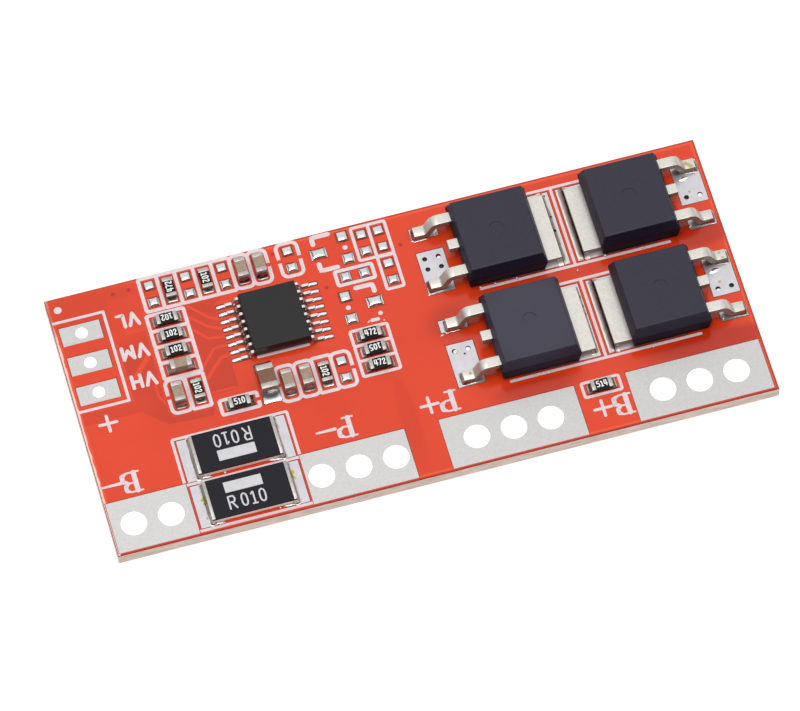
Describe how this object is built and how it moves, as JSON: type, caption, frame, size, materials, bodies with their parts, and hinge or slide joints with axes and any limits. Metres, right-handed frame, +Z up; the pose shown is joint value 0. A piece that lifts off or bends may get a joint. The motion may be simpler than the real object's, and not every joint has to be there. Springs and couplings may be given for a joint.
{
  "type": "battery management board",
  "caption": "Flat battery protection circuit board with power transistors, a controller chip, sense resistors, wire terminals along one edge and tap pads.",
  "frame": {"origin": "centre of the board's underside, on the surface that it lies on", "axes": "+X along the board's length with the wire terminals along the near -Y edge, +Z up out of the component side"},
  "size_m": [0.05, 0.022, 0.0034],
  "materials": {
    "laminate": "glass laminate",
    "solder_mask": "gloss",
    "legend_ink": "matt ink",
    "plated_land": "tinned",
    "solder": "bright solder",
    "tinned_lead": "satin tin",
    "chip_end_metal": "satin tin",
    "transistor_moulding": "fine matt",
    "controller_moulding": "fine matt",
    "resistor_coat": "satin",
    "capacitor_ceramic": "satin",
    "bulk_ceramic": "satin"
  },
  "bodies": {
    "root": {"battery_minus_terminal": "plated_land", "battery_plus_terminal": "plated_land", "board_laminate": "laminate", "bulk_capacitor": "bulk_ceramic", "capacitor_1": "capacitor_ceramic", "capacitor_2": "capacitor_ceramic", "capacitor_3": "capacitor_ceramic", "capacitor_4": "capacitor_ceramic", "capacitor_5": "capacitor_ceramic", "capacitor_6": "capacitor_ceramic", "capacitor_terminals": "chip_end_metal", "chip_lands": "plated_land", "chip_solder": "solder", "controller_body": "controller_moulding", "controller_lands": "plated_land", "controller_leads": "tinned_lead", "controller_solder": "solder", "high_tap_pad": "plated_land", "legend_frames": "legend_ink", "low_tap_pad": "plated_land", "middle_tap_pad": "plated_land", "pack_minus_terminal": "plated_land", "pack_plus_terminal": "plated_land", "power_lands": "plated_land", "resistor_1": "resistor_coat", "resistor_10": "resistor_coat", "resistor_11": "resistor_coat", "resistor_12": "resistor_coat", "resistor_2": "resistor_coat", "resistor_3": "resistor_coat", "resistor_4": "resistor_coat", "resistor_5": "resistor_coat", "resistor_6": "resistor_coat", "resistor_7": "resistor_coat", "resistor_8": "resistor_coat", "resistor_9": "resistor_coat", "resistor_terminals": "chip_end_metal", "shunt_1_body": "resistor_coat", "shunt_2_body": "resistor_coat", "shunt_lands": "plated_land", "shunt_solder": "solder", "shunt_terminals": "chip_end_metal", "solder_mask_bottom": "solder_mask", "solder_mask_top": "solder_mask", "spare_lands": "plated_land", "spare_solder": "solder", "transistor_1_body": "transistor_moulding", "transistor_1_leads": "tinned_lead", "transistor_1_tab": "tinned_lead", "transistor_2_body": "transistor_moulding", "transistor_2_leads": "tinned_lead", "transistor_2_tab": "tinned_lead", "transistor_3_body": "transistor_moulding", "transistor_3_leads": "tinned_lead", "transistor_3_tab": "tinned_lead", "transistor_4_body": "transistor_moulding", "transistor_4_leads": "tinned_lead", "transistor_4_tab": "tinned_lead", "transistor_solder": "solder"}
  },
  "joints": []
}
